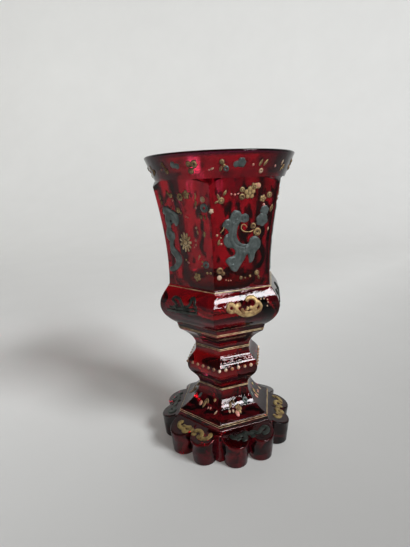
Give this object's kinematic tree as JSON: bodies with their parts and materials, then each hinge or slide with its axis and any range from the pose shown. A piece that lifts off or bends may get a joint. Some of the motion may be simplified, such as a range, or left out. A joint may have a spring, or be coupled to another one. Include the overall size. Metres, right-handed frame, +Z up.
{
  "type": "footed glass goblet",
  "caption": "Footed goblet of ruby glass with a tall faceted bowl under a round rim, a knopped stem, a lobed foot, gilt lines, enamel beads and raised scrolls",
  "frame": {"origin": "centre of the foot at table level, under the axis of the goblet", "axes": "+Z up along the axis; one corner of the hexagon faces -Y and another +Y, and a flat side faces +X and another -X"},
  "size_m": [0.0728, 0.0728, 0.15],
  "materials": {
    "ruby_glass": "deep ruby glass, cut and polished",
    "gilt": "fired gilding, worn and satin",
    "silvering": "fired silver paste, tarnished and satin",
    "enamel": "raised opaque enamel dots, cream with a gold bloom"
  },
  "bodies": {
    "root": {"bowl": "ruby_glass", "bulge_scroll_1": "gilt", "bulge_scroll_2": "silvering", "bulge_scroll_3": "gilt", "bulge_scroll_4": "silvering", "bulge_scroll_5": "gilt", "bulge_scroll_6": "silvering", "collar": "ruby_glass", "crease_gilt_line": "gilt", "enamel_bead_1_1": "enamel", "enamel_bead_1_2": "enamel", "enamel_bead_1_3": "enamel", "enamel_bead_1_4": "enamel", "enamel_bead_1_5": "enamel", "enamel_bead_1_6": "enamel", "enamel_bead_2_1": "enamel", "enamel_bead_2_2": "enamel", "enamel_bead_2_3": "enamel", "enamel_bead_2_4": "enamel", "enamel_bead_2_5": "enamel", "enamel_bead_2_6": "enamel", "enamel_bead_3_1": "enamel", "enamel_bead_3_2": "enamel", "enamel_bead_3_3": "enamel", "enamel_bead_3_4": "enamel", "enamel_bead_3_5": "enamel", "enamel_bead_3_6": "enamel", "enamel_bead_4_1": "enamel", "enamel_bead_4_2": "enamel", "enamel_bead_4_3": "enamel", "enamel_bead_4_4": "enamel", "enamel_bead_4_5": "enamel", "enamel_bead_4_6": "enamel", "enamel_bead_5_1": "enamel", "enamel_bead_5_2": "enamel", "enamel_bead_5_3": "enamel", "enamel_bead_5_4": "enamel", "enamel_bead_5_5": "enamel", "enamel_bead_5_6": "enamel", "enamel_bead_6_1": "enamel", "enamel_bead_6_2": "enamel", "enamel_bead_6_3": "enamel", "enamel_bead_6_4": "enamel", "enamel_bead_6_5": "enamel", "enamel_bead_6_6": "enamel", "foot": "ruby_glass", "foot_gilt_line": "gilt", "knop": "ruby_glass", "ledge_gilt_line": "gilt", "lower_neck_gilt_line": "gilt", "panel_scroll_1": "silvering", "panel_scroll_2": "silvering", "panel_scroll_3": "silvering", "panel_scroll_4": "silvering", "panel_scroll_5": "silvering", "panel_scroll_6": "silvering", "upper_neck_gilt_line": "gilt"}
  },
  "joints": []
}
